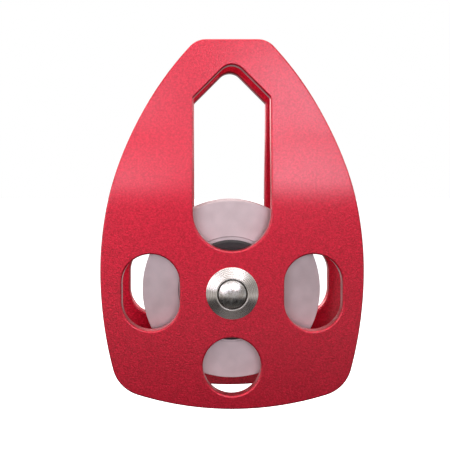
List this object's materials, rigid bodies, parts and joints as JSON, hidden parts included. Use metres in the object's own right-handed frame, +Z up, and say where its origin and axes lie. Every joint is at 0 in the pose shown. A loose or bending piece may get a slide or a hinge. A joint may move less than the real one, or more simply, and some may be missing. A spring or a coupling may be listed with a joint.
{
  "type": "rope pulley",
  "caption": "Swing-cheek rope pulley with a grooved sheave on a sealed ball bearing, hung by a carabiner through tall windows in both cheeks.",
  "frame": {"origin": "where the carabiner bears: the top of the cheeks' tall windows, midway between the cheeks", "axes": "+Z up along the tall windows away from the sheave, Y along the axle with the front cheek on -Y, +X to the right seen from the front"},
  "size_m": [0.1442, 0.0445, 0.2033],
  "materials": {
    "cheek_red": "bead-blasted and dyed red anodised aluminium, satin",
    "sheave_aluminium": "machined, fine satin",
    "cap_steel": "turned stainless steel",
    "polished_steel": "polished stainless steel",
    "plain_steel": "ground stainless steel",
    "spring_steel": "darkened spring steel",
    "bearing_steel": "ground and polished bearing steel",
    "bush_bronze": "sintered bronze",
    "washer_plastic": "black acetal, turned",
    "seal_rubber": "black moulded rubber"
  },
  "bodies": {
    "front_cheek": {"front_cheek_plate": "cheek_red", "front_cheek_bush": "bush_bronze"},
    "axle": {"axle_sleeve": "plain_steel", "axle_bolt": "polished_steel", "axle_nut": "polished_steel", "lock_washer": "spring_steel", "end_cap_front": "cap_steel", "end_cap_rear": "cap_steel", "spacer_ring_front": "plain_steel", "spacer_ring_rear": "plain_steel", "thrust_washer_front": "washer_plastic", "thrust_washer_rear": "washer_plastic", "bearing_inner_race": "bearing_steel"},
    "rear_cheek": {"rear_cheek_plate": "cheek_red", "rear_cheek_bush": "bush_bronze"},
    "sheave": {"sheave": "sheave_aluminium", "bearing_outer_race": "bearing_steel", "bearing_seal_front": "seal_rubber", "bearing_seal_rear": "seal_rubber", "retaining_ring_front": "spring_steel", "retaining_ring_rear": "spring_steel"},
    "ball_cage": {"bearing_cage": "spring_steel", "bearing_ball_1": "bearing_steel", "bearing_ball_2": "bearing_steel", "bearing_ball_3": "bearing_steel", "bearing_ball_4": "bearing_steel", "bearing_ball_5": "bearing_steel", "bearing_ball_6": "bearing_steel", "bearing_ball_7": "bearing_steel", "bearing_ball_8": "bearing_steel"}
  },
  "joints": [
    {"name": "axle_turn", "type": "hinge", "parent": "front_cheek", "child": "axle", "pos_m": [0, 0, -0.12489], "axis": [0, 1, 0], "continuous": true},
    {"name": "rear_cheek_swing", "type": "hinge", "parent": "axle", "child": "rear_cheek", "pos_m": [0, 0, -0.12489], "axis": [0, 1, 0], "continuous": true},
    {"name": "sheave_spin", "type": "hinge", "parent": "axle", "child": "sheave", "pos_m": [0, 0, -0.12489], "axis": [0, 1, 0], "continuous": true},
    {"name": "cage_spin", "type": "hinge", "parent": "axle", "child": "ball_cage", "pos_m": [0, 0, -0.12489], "axis": [0, 1, 0], "continuous": true}
  ],
  "couplings": [
    {"joint": "cage_spin", "follows": "sheave_spin", "ratio": 0.6185}
  ]
}
